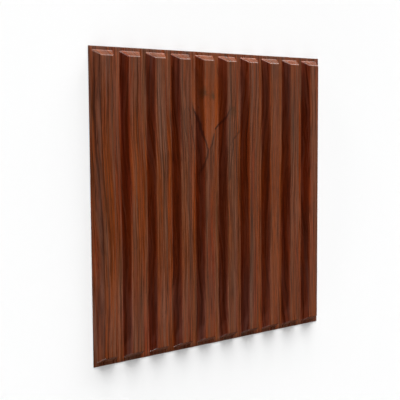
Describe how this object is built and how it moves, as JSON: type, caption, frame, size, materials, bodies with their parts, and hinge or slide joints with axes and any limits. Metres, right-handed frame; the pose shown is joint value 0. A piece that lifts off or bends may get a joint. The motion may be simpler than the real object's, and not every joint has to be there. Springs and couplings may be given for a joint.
{
  "type": "pvc wall panel",
  "caption": "Square wall panel formed from thin PVC sheet, with parallel hollow-backed ribs, sloped rib ends and a flat flange, in a dark wood-grain finish.",
  "frame": {"origin": "centre of the panel in plan, on the plane of its back, which is its lowest plane as it lies", "axes": "+Z out of the wall, from the back to the rib fronts; +X across the ribs, to the right as the picture shows the panel; +Y along the ribs, to the top of the picture"},
  "size_m": [0.5, 0.5, 0.016],
  "materials": {
    "pvc_sheet": "satin wood-grain print in dark red-brown"
  },
  "bodies": {
    "root": {"panel": "pvc_sheet"}
  },
  "joints": []
}
